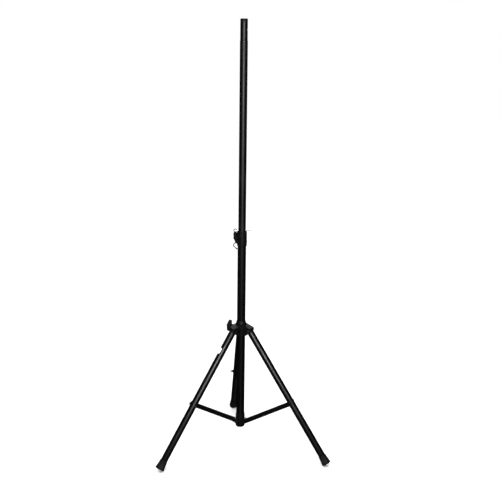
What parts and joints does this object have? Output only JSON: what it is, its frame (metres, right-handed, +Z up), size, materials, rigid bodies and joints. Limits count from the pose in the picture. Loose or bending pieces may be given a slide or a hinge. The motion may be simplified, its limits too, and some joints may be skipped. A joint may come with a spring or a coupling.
{
  "type": "loudspeaker tripod stand",
  "caption": "Folding tripod stand for a loudspeaker: a telescopic mast with a reduced top spigot, a screw clamp and locking pin, and braced legs on a sliding hub.",
  "frame": {"origin": "on the floor, under the middle of the footprint's bounding box; the pole axis stands 0.1188 m towards -Y of it", "axes": "+Z up along the pole; +Y towards the rear leg; +X towards the right-hand leg as seen from the front"},
  "size_m": [0.8736, 0.7628, 2.1658],
  "materials": {
    "pole_paint": "satin black powder coat on steel tube",
    "leg_paint": "semi-gloss black powder coat on steel tube",
    "strut_paint": "satin black powder coat on pressed steel",
    "black_plastic": "fine textured black moulding",
    "knob_plastic": "matt black moulding",
    "grey_nylon": "dark grey nylon",
    "foot_rubber": "dull black rubber",
    "zinc_steel": "zinc-plated steel",
    "dark_steel": "blackened steel",
    "lanyard_plastic": "dark plastic-coated wire",
    "label_paper": "blank white film label"
  },
  "bodies": {
    "stand": {"lower_tube": "pole_paint", "clamp_body": "black_plastic", "mast_liner": "grey_nylon", "lower_collar": "black_plastic", "end_cap": "black_plastic", "lanyard_screw": "dark_steel", "pin_lanyard": "lanyard_plastic", "collar_bolt_1": "dark_steel", "collar_bolt_2": "dark_steel", "collar_bolt_3": "dark_steel", "collar_nut_1": "dark_steel", "collar_nut_2": "dark_steel", "collar_nut_3": "dark_steel"},
    "mast": {"mast_tube": "pole_paint", "mast_guide_plug": "grey_nylon", "spigot": "pole_paint", "spigot_rivet": "zinc_steel", "top_cap": "black_plastic"},
    "pin": {"locking_pin": "zinc_steel"},
    "ring": {"pull_ring": "lanyard_plastic"},
    "clamp_screw": {"clamp_knob": "knob_plastic", "clamp_knob_stud": "zinc_steel"},
    "hub": {"hub_body": "black_plastic", "hub_bolt_1": "dark_steel", "hub_bolt_2": "dark_steel", "hub_bolt_3": "dark_steel", "hub_nut_1": "dark_steel", "hub_nut_2": "dark_steel", "hub_nut_3": "dark_steel"},
    "hub_screw": {"hub_knob": "knob_plastic", "hub_knob_stud": "zinc_steel"},
    "leg_1": {"leg_knuckle_1": "black_plastic", "leg_tube_1": "leg_paint", "leg_foot_1": "foot_rubber", "brace_stud_1": "dark_steel"},
    "leg_2": {"leg_knuckle_2": "black_plastic", "leg_tube_2": "leg_paint", "leg_foot_2": "foot_rubber", "brace_stud_2": "dark_steel", "leg_label": "label_paper"},
    "leg_3": {"leg_knuckle_3": "black_plastic", "leg_tube_3": "leg_paint", "leg_foot_3": "foot_rubber", "brace_stud_3": "dark_steel"},
    "brace_1": {"strut_1": "strut_paint", "brace_bolt_1": "dark_steel"},
    "brace_2": {"strut_2": "strut_paint", "brace_bolt_2": "dark_steel"},
    "brace_3": {"strut_3": "strut_paint", "brace_bolt_3": "dark_steel"}
  },
  "joints": [
    {"name": "hub_slide", "type": "slide", "parent": "stand", "child": "hub", "axis": [0, 0, 1], "range_m": [0, 0.215]},
    {"name": "leg_1_fold", "type": "hinge", "parent": "hub", "child": "leg_1", "pos_m": [0, -0.07178, 0.64882], "axis": [-1, 0, 0], "range_deg": [0, 32.84]},
    {"name": "leg_2_fold", "type": "hinge", "parent": "hub", "child": "leg_2", "pos_m": [-0.0407, -0.14228, 0.64882], "axis": [0.5, -0.866, 0], "range_deg": [0, 32.84]},
    {"name": "leg_3_fold", "type": "hinge", "parent": "hub", "child": "leg_3", "pos_m": [0.0407, -0.14228, 0.64882], "axis": [0.5, 0.866, 0], "range_deg": [0, 32.84]},
    {"name": "brace_1_fold", "type": "hinge", "parent": "stand", "child": "brace_1", "pos_m": [0, -0.09078, 0.15302], "axis": [1, 0, 0], "range_deg": [0, 53.33]},
    {"name": "brace_2_fold", "type": "hinge", "parent": "stand", "child": "brace_2", "pos_m": [-0.02425, -0.13278, 0.15302], "axis": [-0.5, 0.866, 0], "range_deg": [0, 53.33]},
    {"name": "brace_3_fold", "type": "hinge", "parent": "stand", "child": "brace_3", "pos_m": [0.02425, -0.13278, 0.15302], "axis": [-0.5, -0.866, 0], "range_deg": [0, 53.33]},
    {"name": "mast_slide", "type": "slide", "parent": "stand", "child": "mast", "axis": [0, 0, 1], "range_m": [0, 0.06], "deforming": ["pin_lanyard"]},
    {"name": "pin_pull", "type": "slide", "parent": "mast", "child": "pin", "axis": [-1, 0, 0], "range_m": [0, 0.07], "deforming": ["pin_lanyard"]},
    {"name": "ring_swing", "type": "hinge", "parent": "pin", "child": "ring", "pos_m": [-0.026, -0.11878, 1.16182], "axis": [0, 0, 1], "range_deg": [-75, 75]},
    {"name": "clamp_knob_turn", "type": "hinge", "parent": "stand", "child": "clamp_screw", "pos_m": [-0.02057, -0.14329, 1.13382], "axis": [-0.6428, -0.766, 0], "range_deg": [0, 360]},
    {"name": "hub_knob_turn", "type": "hinge", "parent": "hub", "child": "hub_screw", "pos_m": [-0.03551, -0.09828, 0.65882], "axis": [-0.866, 0.5, 0], "range_deg": [0, 360]}
  ],
  "couplings": [
    {"joint": "leg_1_fold", "follows": "hub_slide", "rad_per_m": 2.6652},
    {"joint": "leg_2_fold", "follows": "hub_slide", "rad_per_m": 2.6652},
    {"joint": "leg_3_fold", "follows": "hub_slide", "rad_per_m": 2.6652},
    {"joint": "brace_1_fold", "follows": "hub_slide", "rad_per_m": 4.3285},
    {"joint": "brace_2_fold", "follows": "hub_slide", "rad_per_m": 4.3285},
    {"joint": "brace_3_fold", "follows": "hub_slide", "rad_per_m": 4.3285}
  ]
}
